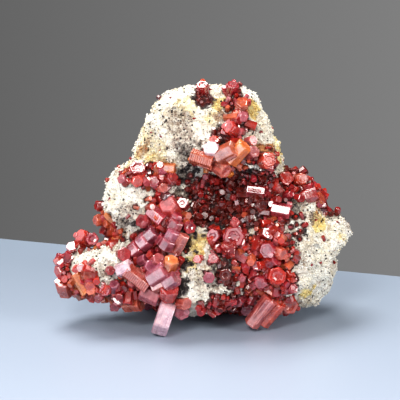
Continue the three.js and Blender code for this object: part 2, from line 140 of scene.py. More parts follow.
# ---- the large crystals
# name, across, up, out, width, length, yaw, pitch, roll as in the CAD model, then form and colour.
# foot_crest_small and the 13 rows from foot_pink_inner on have no solid in the CAD model.
LARGE = {FRONT: [
    ("upper_blade_top", -14.6, -10.4, 1.8, 5, 3.4, 78, 42, 15, "plain", MAUVE_SHEEN),
    ("upper_blade_middle", -16.8, -12.6, 1.9, 5.6, 3.2, 78, 42, 15, "plain", MAUVE_SHEEN),
    ("upper_blade_low", -19.5, -14.8, 1.7, 5, 3.4, 78, 42, 15, "plain", ROSE),
    ("steep_blade_tip", -7.2, -5.4, 1.8, 3.8, 3, 76, 62, 10, "barrel", ROSE),
    ("steep_blade_top", -7.4, -7.6, 1.9, 4.6, 3.2, 76, 62, 10, "plain", ROSE),
    ("steep_blade_middle", -8.4, -10.6, 2, 4.8, 3.4, 76, 62, 10, "plain", MAUVE_SHEEN),
    ("steep_blade_low", -9.9, -13.3, 1.9, 4.6, 3.2, 76, 62, 10, "plain", MAUVE_SHEEN),
    ("big_red_barrel", -8.9, -2.7, 0.6, 6.6, 6, -25, 45, 10, "barrel", SCARLET),
    ("striated_red", -13, -4.6, 0.9, 5.2, 5.4, 62, -32, 20, "ribbed", ROSE),
    ("round_red", -16.6, -6.4, 0.4, 4.6, 4.4, -35, 20, 0, "barrel", RED),
    ("leaning_block", -5.9, -13.2, 0.9, 3.6, 6.2, 80, 64, 0, "plain", SALMON),
    ("magenta_hexagon", -3.4, -8.4, 0.2, 4, 4, 12, 22, 10, "hopper", ROSE),
    ("red_block", -23.1, -16.4, 0.5, 4.4, 4.4, 14, 20, 20, "plain", RED),
    ("bright_block", -22.6, -20.6, 1.2, 4.6, 4.8, 72, 28, 22, "plain", LILAC_SHEEN),
    ("ribbed_block", -18.6, -23.6, 1.2, 5.6, 8.2, 72, -33, 25, "ribbed", ORANGE),
    ("mauve_slab", -12.6, -22.6, 2, 5.6, 6.2, 74, 36, 20, "plain", MAUVE_SHEEN),
    ("mauve_slab_low", -8.7, -24.4, 1.4, 4.8, 4.4, 74, 36, 20, "plain", MAUVE_SHEEN),
    ("orange_block", -9, -19.4, 1, 4.4, 4.6, 25, 58, 10, "plain", AMBER),
    ("pink_corner", -13, -18.4, 0.9, 4.2, 3.6, 40, 40, 15, "plain", PINK_SHEEN),
    ("pink_block", -14.9, -28.4, 1.3, 5.6, 5.8, 76, -20, 10, "plain", PINK_SHEEN),
    ("pink_wedge", -12.2, -25.6, 1.6, 3.8, 4.4, 76, 30, 15, "plain", ORANGE),
    ("hopper_barrel", -9.4, -27.8, 1.2, 5.4, 5, 12, 50, 0, "hopper", SCARLET),
    ("orange_rough", -5.1, -31, 0.3, 4, 4.2, 40, 10, 10, "barrel", ORANGE),
    ("left_orange_block", -20.1, -31, 0.9, 5.4, 5.6, 64, 12, 8, "ribbed", ORANGE),
    ("dark_mauve", -16.1, -31, 0.5, 4, 4.4, 20, -5, 10, "plain", MAUVE_SHEEN),
    ("foot_crest_red", -34.6, -11.6, 0.4, 5, 5.2, -40, 38, 10, "barrel", SCARLET),
    ("foot_crest_hexagon", -32.4, -12, 0.8, 4, 5, 6, 24, 0, "hopper", ROSE),
    ("foot_crest_small", -36, -13.6, 0.6, 3, 3.4, -60, 30, 0, "barrel", SCARLET),
    ("foot_bright_cube", -38.2, -14.9, 0.5, 3.8, 3.8, -12, 55, 20, "plain", BLUSH_SHEEN),
    ("foot_pink_upper", -40.9, -17.8, -0.6, 3.6, 4, -55, 20, 10, "barrel", ROSE),
    ("foot_pink_lower", -40.9, -21, -0.8, 4, 4.8, -50, -5, 10, "plain", PINK_SHEEN),
    ("foot_hopper", -40.3, -26, -0.4, 5.8, 5.4, -14, 62, 0, "hopper", SCARLET),
    ("foot_orange_blade", -35.7, -25, 0.6, 3.4, 6.6, 66, -58, 10, "plain", AMBER),
    ("foot_red_middle", -34.2, -22.4, 0.6, 3.8, 4.6, 22, 18, 15, "barrel", RED),
    ("foot_red_lower", -33.2, -25, 0.4, 3.6, 4.2, 10, -12, 0, "barrel", SCARLET),
    ("foot_pink_face", -28.2, -27, 0.4, 3.4, 3.8, -12, 10, 10, "plain", ROSE),
    ("foot_mauve_top", -25.7, -26.2, 0.6, 3.2, 3.6, 5, 52, 0, "plain", MAUVE_SHEEN),
    ("foot_mauve_hexagon", -24, -29.6, 0.4, 4.2, 4, -10, 28, 12, "hopper", MAUVE_SHEEN),
    ("foot_under_pink", -25.4, -31.4, 0.3, 3.6, 4, 0, -12, 0, "barrel", ROSE),
    ("foot_under_red", -29.8, -28.4, 0.3, 3.4, 4, -20, -15, 10, "barrel", RED),
    ("knee_orange", -26, -11, 0.2, 3.2, 3.8, 20, 40, 0, "barrel", ORANGE),
    ("knee_red", -28.1, -9.6, -0.2, 3.2, 4, -50, 30, 10, "barrel", RED),
    ("knob_edge_red", -29.3, -2, -0.8, 3.4, 4.4, -62, 12, 0, "barrel", RED),
    ("knob_foot_orange", -29.5, -6, -0.8, 3.8, 4.8, -55, 5, 10, "barrel", ORANGE),
    ("band_leaf", -18.6, 8.8, 0.2, 5, 4, -12, 52, 0, "hopper", RED),
    ("band_red_low", -19, 5.4, 0.1, 3.8, 4, 8, 22, 15, "plain", SCARLET),
    ("band_mauve_top", -11.6, 8.6, 0, 3.2, 3.8, 30, 35, 0, "plain", MAUVE_SHEEN),
    ("band_mauve_low", -13.6, 5.2, 0.2, 3.6, 3.8, -15, 25, 10, "plain", ROSE),
    ("band_orange_low", -11.9, 3.8, 0.3, 3.2, 4, 35, 10, 0, "barrel", ORANGE),
    ("band_orange_bar", -9.3, 9.6, 0.4, 3.2, 4, 74, 0, 20, "plain", AMBER),
    ("band_deep_red", -8.7, 6.2, 0.1, 4.2, 4.4, 20, 30, 0, "barrel", RED),
    ("vug_left_red", -10.5, 1, 0.1, 3.8, 4.4, 30, 0, 10, "barrel", DEEP),
    ("vug_floor_red", -5, -1.4, 0.2, 3.6, 4.4, -10, 30, 0, "hopper", RED),
    ("ledge_left_orange", 0.6, 12.3, 0.9, 5, 6.8, 74, -14, 20, "ribbed", ORANGE),
    ("ledge_middle_orange", 6, 9.8, 0.7, 5, 5.6, 40, -16, 5, "hopper", SALMON),
    ("ledge_blade", 7.9, 14.2, 1.4, 5.6, 6.4, 66, 30, 25, "plain", ORANGE),
    ("ledge_blade_right", 11.3, 14, 1.2, 5, 7, 74, 48, 15, "plain", AMBER),
    ("ledge_lilac_face", 3.5, 14.6, 0.5, 5, 4, -14, 50, 0, "plain", LILAC_SHEEN),
    ("ledge_pink", 15.5, 14, 0.3, 3.8, 4, 30, 30, 0, "plain", PINK_SHEEN),
    ("ledge_red", 19.6, 12, 0, 5, 5.4, 25, 12, 10, "barrel", SCARLET),
    ("crown_red_barrel", 9.5, 21.2, 0.5, 4.6, 5, -32, 34, 12, "barrel", SCARLET),
    ("crown_mauve_hexagon", 12.6, 25, 0.3, 3.6, 4, 8, 12, 0, "plain", MAUVE_SHEEN),
    ("crown_orange", 12.5, 28, 0.2, 4.2, 4.4, 10, 50, 10, "stack", ORANGE),
    ("crown_top_red_left", 0.8, 33, 0, 3.6, 4.6, -10, 60, 0, "hopper", RED),
    ("crown_top_red_right", 9.5, 33, 0, 4, 4.8, 20, 58, 10, "barrel", ROSE),
    ("shoulder_red", 25.4, 6.4, -0.5, 4.6, 5, 18, 22, 0, "barrel", SCARLET),
    ("shoulder_orange", 29.4, 5.8, -0.5, 4.2, 5, 34, 24, 10, "barrel", SCARLET),
    ("shoulder_pink", 32.3, 3.4, -0.6, 3, 4, 60, 20, 0, "barrel", ROSE),
    ("vug_bright_bar", 16.8, 2.6, 0.8, 4.2, 5.4, 78, -4, 0, "plain", RED),
    ("vug_right_red", 18, -1.8, 0.4, 4.2, 4.6, 10, 15, 10, "barrel", DEEP),
    ("flank_bright_bar", 24.3, -3.1, 0.7, 4.4, 5.6, 76, -8, 4, "plain", ROSE),
    ("flank_leaf", 23.1, -10.8, 0.1, 3.6, 4, 42, 8, 0, "barrel", SCARLET),
    ("flank_red_inner", 19.4, -10.2, 0.2, 3.4, 4, 25, 25, 10, "hopper", SCARLET),
    ("rosette", 10, -11.1, 0.6, 6.4, 4.6, 4, 18, 8, "hopper", ROSE),
    ("rosette_plates", 8.8, -14.8, 0.5, 4.8, 4.6, -5, 62, 20, "stack", RED),
    ("rosette_crest", 10.4, -7.4, 0.3, 3.4, 3.8, 5, 40, 0, "stack", PINK_SHEEN),
    ("rosette_left", 4.5, -10.7, 0.4, 4.2, 4, -22, 16, 0, "hopper", ROSE),
    ("apron_red", 4.2, -17.7, 0.2, 3.4, 3.8, -8, 22, 10, "barrel", ROSE),
    ("apron_mauve_hexagon", 2.6, -23.2, 0.2, 3.6, 4, 4, 14, 0, "plain", MAUVE_SHEEN),
    ("pocket_dark_hexagon", 7.3, -22.4, 0.3, 4, 4.2, 8, 12, 10, "plain", DEEP),
    ("flank_mauve_face", 20.8, -14.9, 0.8, 5.2, 4, -26, 6, 12, "plain", ROSE),
    ("flank_mauve_side", 18, -13.8, 0.3, 3.6, 4, -50, 20, 0, "barrel", SCARLET),
    ("flank_orange_side", 23.5, -15.8, 0.4, 4.2, 4.4, 42, -5, 0, "barrel", ORANGE),
    ("flank_big_hexagon", 22.7, -22.6, 0.6, 5.8, 4.8, 12, 10, 14, "hopper", SCARLET),
    ("flank_deep_hexagon", 18.6, -24.2, 0.5, 4.4, 4.6, -14, -2, 0, "barrel", ROSE),
    ("flank_pink_slab", 21.6, -18.4, 0.4, 3.8, 3.8, 50, 30, 0, "plain", ROSE),
    ("flank_pink_hexagon", 17.2, -19.7, 0.4, 3.2, 3.6, -10, 18, 0, "plain", PINK_SHEEN),
    ("heel_red_hexagon", 26.3, -31.2, 0.3, 5.8, 4.8, 14, 4, 0, "hopper", SCARLET),
    ("heel_pink", 23.1, -32, 0.2, 4, 4.6, 30, -10, 0, "barrel", PINK_SHEEN),
    ("apron_edge_pink", 12, -30, 0.2, 3.8, 4.4, -24, -4, 0, "barrel", ROSE),
    ("apron_edge_mauve", 14.2, -32.2, 0.3, 4, 4.6, -8, -14, 8, "plain", MAUVE_SHEEN),
    ("foot_pink_inner", -39.2, -17.6, 0.2, 3.2, 3.4, -10, 25, 0, "barrel", ROSE),
    ("foot_low_red", -27.2, -21.4, 0, 3, 3.6, 15, 25, 0, "plain", RED),
    ("foot_red_upper", -35.2, -20.2, 0.4, 3.2, 3.4, -20, 10, 0, "barrel", SCARLET),
    ("mauve_corner", -17, -18, 0.5, 3.2, 3.2, 50, 30, 0, "plain", MAUVE_SHEEN),
    ("mauve_chip", -14.9, -19.9, 1.4, 3.8, 3.2, 15, 20, 0, "plain", MAUVE_SHEEN),
    ("steep_blade_side", -11.7, -12, 1, 2.8, 3, 70, 55, 0, "plain", ROSE),
    ("band_mauve_left", -22.8, 6, -0.2, 3, 3.6, -25, 22, 0, "plain", PINK_SHEEN),
    ("crown_small_red", 4.5, 17.9, 0.1, 3, 3.6, -15, 20, 0, "barrel", SCARLET),
    ("crown_pink", 15, 17.6, 0.1, 3.2, 3.8, 35, 20, 0, "plain", PINK_SHEEN),
    ("apron_small_red", -0.3, -17.7, 0, 3, 3.4, -20, 15, 0, "barrel", SCARLET),
    ("flank_dark_small", 13.7, -17, 0.1, 3, 3.6, -20, 10, 0, "plain", DEEP),
    ("flank_small_red", 29.4, 0.6, 0, 2.8, 3.6, 40, 10, 0, "plain", RED),
    ("heel_column", 27.2, -26.8, 0.3, 3.2, 4.2, 34, 18, 0, "barrel", ROSE),
], RIGHT: [
    ("right_side_red", -6, -6, 0.2, 4.4, 4.8, 10, 15, 0, "barrel", RED),
    ("right_side_orange", -3, -9, 0.2, 4, 4.4, -20, 30, 10, "stack", ORANGE),
    ("right_side_small", 10, 4, 0.1, 3.4, 4, 20, 20, 0, "plain", ROSE),
], BACK: [
    ("back_red_upper", 6, 14, 0.4, 5, 5, 15, 30, 0, "barrel", RED),
    ("back_orange_upper", 2, 12, 0.3, 4.2, 4.6, -20, 10, 10, "stack", ORANGE),
    ("back_pink_upper", 9, 10, 0.2, 3.8, 4.4, 30, 10, 0, "plain", ROSE),
    ("back_red_lower", -14, -14, 0.4, 5.2, 5, -15, 20, 0, "hopper", RED),
    ("back_mauve_lower", -18, -12, 0.3, 4.4, 4.6, 10, 35, 12, "plain", MAUVE_SHEEN),
    ("back_small_lower", -11, -18, 0.2, 3.8, 4.2, 25, 0, 0, "barrel", SCARLET),
], LEFT: [
    ("left_side_red", -14, -2, 0.2, 4.2, 4.8, -10, 25, 0, "barrel", RED),
    ("left_side_orange", 2, -16, 0.3, 4.4, 4.8, 15, 20, 10, "stack", ORANGE),
    ("left_side_pink", -4, -21, 0.3, 4, 4.6, -15, 5, 0, "plain", ROSE),
]}

# The ones that hang under the front: name, middle, width, length, yaw, pitch, roll, form, colour
HANGING = [
    ("hanging_plate", (-11, -20, 5.7), 12, 4.6, 84, -18, 10, "plate", LILAC_SHEEN),
    ("hanging_plate_neighbour", (-6.4, -18.4, 6.6), 4.8, 6.4, 10, 16, 20, "plain", MAUVE_SHEEN),
    ("slanting_blade", (17.4, -17, 6.2), 5, 10.4, 84, 55, 15, "hopper", PINK_SHEEN),
    ("slanting_blade_right", (20.6, -16.4, 5.2), 4, 8.6, 84, 52, 20, "hopper", SCARLET),
]

# How many small crystals grow along a large one of each form, besides one for every 3 mm of width
BUNDLED = {"plain": 0, "barrel": 3, "hopper": 3, "stack": 1, "ribbed": 0, "plate": -2}

STEPS = {"stack": (1.2, 0.14), "ribbed": (0.62, 0.13)}  # height and depth of a growth step, mm
CHAMFER = 0.07  # share of a side that a worn corner takes
STEP_WEAR = 0.14  # share of a growth step's height that its worn edge takes
STEP_WIDTHS = (0.92, 1.0)  # narrowest and widest step of a crystal, as a share of its width
# every point of a small crystal thus gets strong painted edge highlight
SMALL_EDGE = 0.8  # how near to an edge every point of a small crystal's outline counts as
APOTHEM = math.cos(math.radians(30))


def basis(axis, roll):
    """Columns are a crystal's two cross directions and its axis."""
    side = Vector((0, 0, 1)).cross(axis).normalized()
    top = axis.cross(side)
    turn = math.radians(roll)
    first = side * math.cos(turn) + top * math.sin(turn)
    return Matrix((first, axis.cross(first), axis)).transposed()


def section(rng, uneven, fine):
    """An uneven hexagon about 1 in radius, and how near each of its points is to a corner.
    A fine one has its corners worn off and a point in the middle of each side."""
    reach = [APOTHEM * (1 + rng.uniform(-uneven, uneven * 0.4)) for _ in range(6)]
    corners = []
    for k in range(6):
        a, b = math.radians(60 * k - 30), math.radians(60 * k + 30)
        ra, rb = reach[k - 1], reach[k]
        cross = math.sin(b - a)
        x = (ra * math.sin(b) - rb * math.sin(a)) / cross
        y = (rb * math.cos(a) - ra * math.cos(b)) / cross
        corners.append(np.array((x, y)))
    if not fine:
        return np.array(corners), [SMALL_EDGE] * 6
    points, near = [], []
    for k in range(6):
        before, here, after = corners[k - 1], corners[k], corners[(k + 1) % 6]
        points += [here + (before - here) * CHAMFER, here + (after - here) * CHAMFER]
        points.append((here + after) / 2)
        near += [1, 1, 0]
    return np.array(points), near


def stepped(half, length, rng, step, depth):
    """Rings of a crystal grown in plates, each a little wider or narrower than the next."""
    count = max(2, round(length / step))
    rings = []
    for k in range(count):
        start = length * (k / count - 0.5)
        stop = start + length / count
        radius = half * rng.uniform(*STEP_WIDTHS)
        gap = STEP_WEAR * length / count
        rings += [(start, radius - depth, 0.0), (start + gap, radius, 0.9)]
        rings += [(stop - gap, radius, 0.9), (stop, radius - depth, 0.0)]
    return rings


def cap(half, end, sink, rng):
    """Rings of a crystal's end: flat but for one low step, and sunk in the middle by sink."""
    inner = rng.uniform(0.5, 0.7)
    rise = rng.uniform(-0.05, 0.05) * half
    return [
        (end, half * inner + 0.1 * half, 0.45),
        (end + rise - sink * 0.6, half * inner, 0.3),
        (end + rise - sink, half * inner * 0.55, 0.0),
    ]


def profile(form, half, length, rng, fine):
    """Rings from one end of a crystal to the other: height and radius in millimetres, and how
    near the ring is to an edge."""
    end, cut = length / 2, half * CHAMFER * 1.6
    if not fine:
        waist = half * (0.86 if form == "barrel" else 1.0)
        middle = [(0, half, 0.3)] if form == "barrel" else []
        return [
            (-end, waist - cut, 0.6),
            (-end + cut, waist, 1.0),
            *middle,
            (end - cut, waist, 1.0),
            (end, waist - cut, 0.8),
            (end, waist * 0.45, 0.0),
        ]
    if form == "plate":
        return [
            (-end, half * 0.93, 0.2),
            (-end + 0.4, half, 1.0),
            (-0.35 * end, half, 0.1),
            (-0.30 * end, half * 0.975, 0.9),
            (end - 1.2, half * 0.985, 0.2),
            (end - 1.0, half * 0.955, 0.9),
            (end - 0.3, half * 0.96, 0.3),
            (end, half * 0.92, 1.0),
            *cap(half * 0.9, end, 0.2, rng),
        ]
    if form in STEPS:
        return stepped(half, length, rng, *STEPS[form]) + cap(half * 0.9, end, 0.0, rng)
    shoulder = half * rng.uniform(0.80, 0.92) if form == "barrel" else half
    sink = half * rng.uniform(0.10, 0.22) if form == "hopper" else 0.0
    return [
        (-end, shoulder - cut, 0.5),
        (-end + cut, shoulder, 1.0),
        (-end * 0.5, half * 0.99, 0.25),
        (0, half, 0.0),
        (end * 0.5, half * 0.99, 0.25),
        (end - cut, shoulder, 1.0),
        (end, shoulder - cut, 0.9),
        *cap(shoulder - cut, end, sink, rng),
    ]


def shell(outline, near, rings):
    """A closed lofted shell: points, faces, and how near each point is to an edge, which sets its
    painted edge highlight.
    """
    points = [(x * r, y * r, z) for z, r, _ in rings for x, y in outline]
    edge = [max(share, 0.75 * corner) for _, _, share in rings for corner in near]
    n = len(outline)
    faces = [tuple(reversed(range(n)))]
    for ring in range(len(rings) - 1):
        base = ring * n
        faces += [
            (base + k, base + (k + 1) % n, base + n + (k + 1) % n, base + n + k)
            for k in range(n)
        ]
    faces.append(tuple(range(len(points) - n, len(points))))
    return points, faces, edge


class Mass:
    """Gathers many closed shells into one mesh, with a colour and an axis position at each point."""

    def __init__(self):
        self.points, self.faces, self.colours, self.along, self.edges = [], [], [], [], []
        self.count = 0

    def add(self, points, faces, colour, along, edges):
        self.points.append(points)
        self.colours.append(np.broadcast_to(colour, (len(points), 4)))
        self.along.append(along)
        self.edges.append(edges)
        self.faces += [tuple(i + self.count for i in face) for face in faces]
        self.count += len(points)

    def make(self, name, material, slot, replaces=()):
        mesh = bpy.data.meshes.new(name)
        mesh.from_pydata(np.concatenate(self.points).tolist(), [], self.faces)
        for kind, values in (("body", self.colours), ("along", self.along), ("edge", self.edges)):
            paint(mesh, kind, np.concatenate(values))
        mesh.materials.append(material)
        mesh.update()
        finish_piece(linked(name, mesh), slot, replaces)


def finish_piece(piece, slot, replaces=()):
    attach(piece, "root")
    if replaces:
        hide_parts(*replaces)


# ---- node helpers
class Nodes:
    """Builds the node tree of a material or a world in a few words per node."""

    def __init__(self, owner):
        self.owner = owner
        owner.use_nodes = True
        self.tree = owner.node_tree

    def add(self, kind, inputs=(), **settings):
        node = self.tree.nodes.new(kind)
        for key, value in settings.items():
            setattr(node, key, value)
        self.feed(node, inputs)
        return node

    def feed(self, node, inputs):
        for key, value in dict(inputs).items():
            if isinstance(value, bpy.types.NodeSocket):
                self.tree.links.new(value, node.inputs[key])
            else:
                node.inputs[key].default_value = value

    def place(self, kind="Object"):
        return self.add("ShaderNodeTexCoord").outputs[kind]

    def attribute(self, name, output="Color"):
        return self.add("ShaderNodeAttribute", attribute_name=name).outputs[output]

    def noise(self, where, scale, detail=4.0, roughness=0.6):
        inputs = {"Vector": where, "Scale": scale, "Detail": detail, "Roughness": roughness}
        return self.add("ShaderNodeTexNoise", inputs).outputs["Fac"]

    def cells(self, where, scale):
        return self.add("ShaderNodeTexVoronoi", {"Vector": where, "Scale": scale})

    def ramp(self, value, low, high, start=0.0, stop=1.0):
        node = self.add("ShaderNodeMapRange", {"Value": value})
        self.feed(node, {"From Min": low, "From Max": high, "To Min": start, "To Max": stop})
        return node.outputs["Result"]

    def math(self, operation, a, b):
        return self.add("ShaderNodeMath", {0: a, 1: b}, operation=operation).outputs[0]

    def mix(self, share, a, b, blend="MIX"):
        node = self.add("ShaderNodeMix", data_type="RGBA", blend_type=blend)
        for key, value in ((0, share), (6, a), (7, b)):
            if isinstance(value, tuple):
                value = (*value, 1.0) if len(value) == 3 else value
            self.feed(node, {key: value})
        return node.outputs[2]

    def bump(self, height, strength, distance):
        inputs = {"Height": height, "Strength": strength, "Distance": distance}
        return self.add("ShaderNodeBump", inputs).outputs["Normal"]

    def finish(self, shader="Principled BSDF", **inputs):
        """Feeds the last node, and gives back the material or world."""
        self.feed(self.tree.nodes[shader], {k.replace("_", " "): v for k, v in inputs.items()})
        return self.owner


# ---- materials
# Painted highlight: a crystal's colour is deepened in the middle of its faces and lightened along
# its edges
FACE_TINT = (0.50, 0.34, 0.42)  # multiplies a crystal's colour in the middle of its faces
STRIPE_TINT = (0.75, 0.40, 0.35)  # and in the stripes across its axis
DULLNESS = (0.09, 0.34)  # roughness of the glossiest and the dullest patches
CLOUD_SCALE, DULL_SCALE, GRAIN_SCALE = 520, 420, 2600  # noise scales, per metre


def vanadinite(name, glow, lustre):
    """Glossy lead-vanadate crystal: each crystal's own colour, deep in the middle of its faces and
    lighter along its edges as painted highlight and glow, cloudy inside, striated across its axis,
    with duller patches."""
    n = Nodes(bpy.data.materials.new(name))
    where = n.place()
    body = n.attribute("body")
    deep = n.mix(1.0, body, FACE_TINT, "MULTIPLY")
    bright = n.mix(0.16, body, glow)
    cloud = n.ramp(n.noise(where, CLOUD_SCALE, 4, 0.65), 0.3, 0.7, -0.45, 0.55)
    # painted highlight and glow: lighter along edges, varied by cloudy noise
    light = n.math("ADD", n.math("MULTIPLY", n.attribute("edge", "Fac"), 0.65), cloud)
    colour = n.mix(n.ramp(light, 0.0, 1.0, 0.1, 1.0), deep, bright)
    zone = n.add("ShaderNodeTexNoise", {"W": n.attribute("along", "Fac")}, noise_dimensions="1D")
    n.feed(zone, {"Scale": 2.4, "Detail": 4.0, "Roughness": 0.7})
    stripes = zone.outputs["Fac"]
    colour = n.mix(n.ramp(stripes, 0.5, 0.75, 0.0, 0.5), colour, STRIPE_TINT, "MULTIPLY")
    grain = n.noise(where, GRAIN_SCALE, 2)
    dull = n.ramp(n.noise(where, DULL_SCALE, 3), 0.35, 0.7, *DULLNESS)
    height = n.math("ADD", n.math("MULTIPLY", stripes, 0.7), n.math("MULTIPLY", grain, 0.3))
    return n.finish(
        Base_Color=colour,
        Roughness=dull,
        IOR=lustre,
        Subsurface_Radius=(1.0, 0.2, 0.1),
        Subsurface_Weight=0.06,
        Subsurface_Scale=0.001,
        Normal=n.bump(height, 0.3, 0.0002),
    )


# Tones of the stone. Each pair is mottled together.
CHALK = ((0.90, 0.88, 0.79), (0.86, 0.77, 0.58))
YELLOW = ((0.84, 0.62, 0.22), (0.93, 0.84, 0.44))
BROWN = ((0.24, 0.07, 0.03), (0.58, 0.30, 0.12))
GREY = ((0.38, 0.28, 0.22), (0.80, 0.74, 0.62))
BLACK = ((0.030, 0.022, 0.022), (0.34, 0.30, 0.27))
# the dark red tones of the painted shade between crowded small crystals
DRUSE_SHADE_MAROON = ((0.040, 0.006, 0.008), (0.16, 0.05, 0.04))
# SHADE: the tone of the painted shade in the rock's cracks and pits
TAN, SUGAR, SHADE = (0.72, 0.63, 0.54), (0.93, 0.91, 0.84), (0.34, 0.22, 0.15)
# Dark grains: scale per metre, how rare they are, tone
SPECKS = ((1900, 1.74, (0.12, 0.08, 0.07)), (1100, 1.93, (0.03, 0.025, 0.025)))


def matrix_stone():
    """Crumbly pale rock: sugary grain, dark specks, and stains where the mesh says, with painted
    shade in its cracks and pits and round crowded small crystals.
    """
    n = Nodes(bpy.data.materials.new("matrix_stone"))
    where = n.place()
    stain_and_shade = n.add("ShaderNodeSeparateColor", {"Color": n.attribute("stain_and_shade")})
    yellow, brown, grey = (stain_and_shade.outputs[k] for k in ("Red", "Green", "Blue"))
    black, druse_shade = n.attribute("stain_and_shade", "Alpha"), n.attribute("druse_shade", "Fac")
    painted_shade = n.attribute("painted_shade", "Fac")
    ragged = n.ramp(n.noise(where, 330, 5, 0.75), 0.3, 0.7, -0.35, 0.35)

    # lays stains, and painted shade, over the colour by amount
    def stained_and_shaded(colour, amount, tone):
        return n.mix(n.ramp(n.math("ADD", amount, ragged), 0.25, 0.75), colour, tone)

    def mottled(scale, low, high, dark_tone, light_tone):
        return n.mix(n.ramp(n.noise(where, scale, 4), low, high), dark_tone, light_tone)

    def specks(scale, needed):
        """Crisp dark grains of uneven shape and size, thicker where the rock is grey with stains."""
        jitter = n.add("ShaderNodeTexNoise", {"Vector": where, "Scale": scale * 2.6})
        bent = n.mix(0.0006 * 900 / scale, where, jitter.outputs["Color"], "ADD")
        grain = n.cells(bent, scale)
        chance = n.add("ShaderNodeSeparateColor", {"Color": grain.outputs["Color"]})
        reach = n.ramp(chance.outputs["Green"], 0.0, 1.0, 0.12, 0.38)
        near = n.ramp(n.math("SUBTRACT", grain.outputs["Distance"], reach), -0.03, 0.03, 1.0, 0.0)
        likely = n.math("ADD", n.noise(where, 190, 4), n.math("MULTIPLY", grey, 0.22))
        likely = n.math("ADD", n.math("MULTIPLY", likely, 2.0), chance.outputs["Red"])
        return n.math("MULTIPLY", near, n.ramp(likely, needed, needed + 0.06))

    colour = mottled(150, 0.44, 0.68, *CHALK)
    colour = n.mix(n.ramp(n.noise(where, 480, 4), 0.56, 0.70), colour, TAN)
    colour = n.mix(n.ramp(n.noise(where, 1000, 4), 0.50, 0.62), colour, SUGAR)
    colour = stained_and_shaded(colour, yellow, mottled(700, 0.4, 0.6, *YELLOW))
    colour = stained_and_shaded(colour, brown, mottled(800, 0.4, 0.6, *BROWN))
    colour = stained_and_shaded(colour, grey, mottled(900, 0.38, 0.58, *GREY))
    colour = stained_and_shaded(colour, black, mottled(1100, 0.5, 0.68, *BLACK))
    # painted shade: dark red round crowded small crystals
    colour = stained_and_shaded(colour, druse_shade, mottled(1000, 0.45, 0.6, *DRUSE_SHADE_MAROON))
    # painted shade: darker in cracks, pits and between grains
    colour = n.mix(n.ramp(painted_shade, 0.25, 0.95, 0.0, 0.85), colour, SHADE, "MULTIPLY")
    for scale, rarity, tone in SPECKS:
        colour = n.mix(specks(scale, rarity), colour, tone)
    height = n.math("ADD", n.noise(where, 1300, 6, 0.7), n.cells(where, 1500).outputs["Distance"])
    fine = n.bump(height, 0.7, 0.0004)
    return n.finish(Base_Color=colour, Roughness=0.85, Normal=fine, IOR=1.45)


# What each slot's crystals glow towards along their edges: painted edge highlight and glow
GLOWS = {
    "vanadinite_red": (0.90, 0.12, 0.06),
    "vanadinite_orange": (1.00, 0.36, 0.12),
    "vanadinite_mauve": (0.85, 0.30, 0.30),
}
LUSTRE, DRUSE_LUSTRE = 2.25, 1.9  # as an index of refraction
MATERIALS = {slot: vanadinite(slot, glow, LUSTRE) for slot, glow in GLOWS.items()}
DRUSE_MATERIALS = {
    slot: vanadinite(slot + "_druse", glow, DRUSE_LUSTRE) for slot, glow in GLOWS.items()
}


# ---- the rock
VOXEL = 0.48 * MM
SMOOTHING = 30  # passes of smoothing over the voxels
FOOT = 2.0 * MM  # below this height the skin goes back to the CAD rock's, for a flat underside
FOOT_FLAT = 0.25 * MM  # and below this one it lies on the table
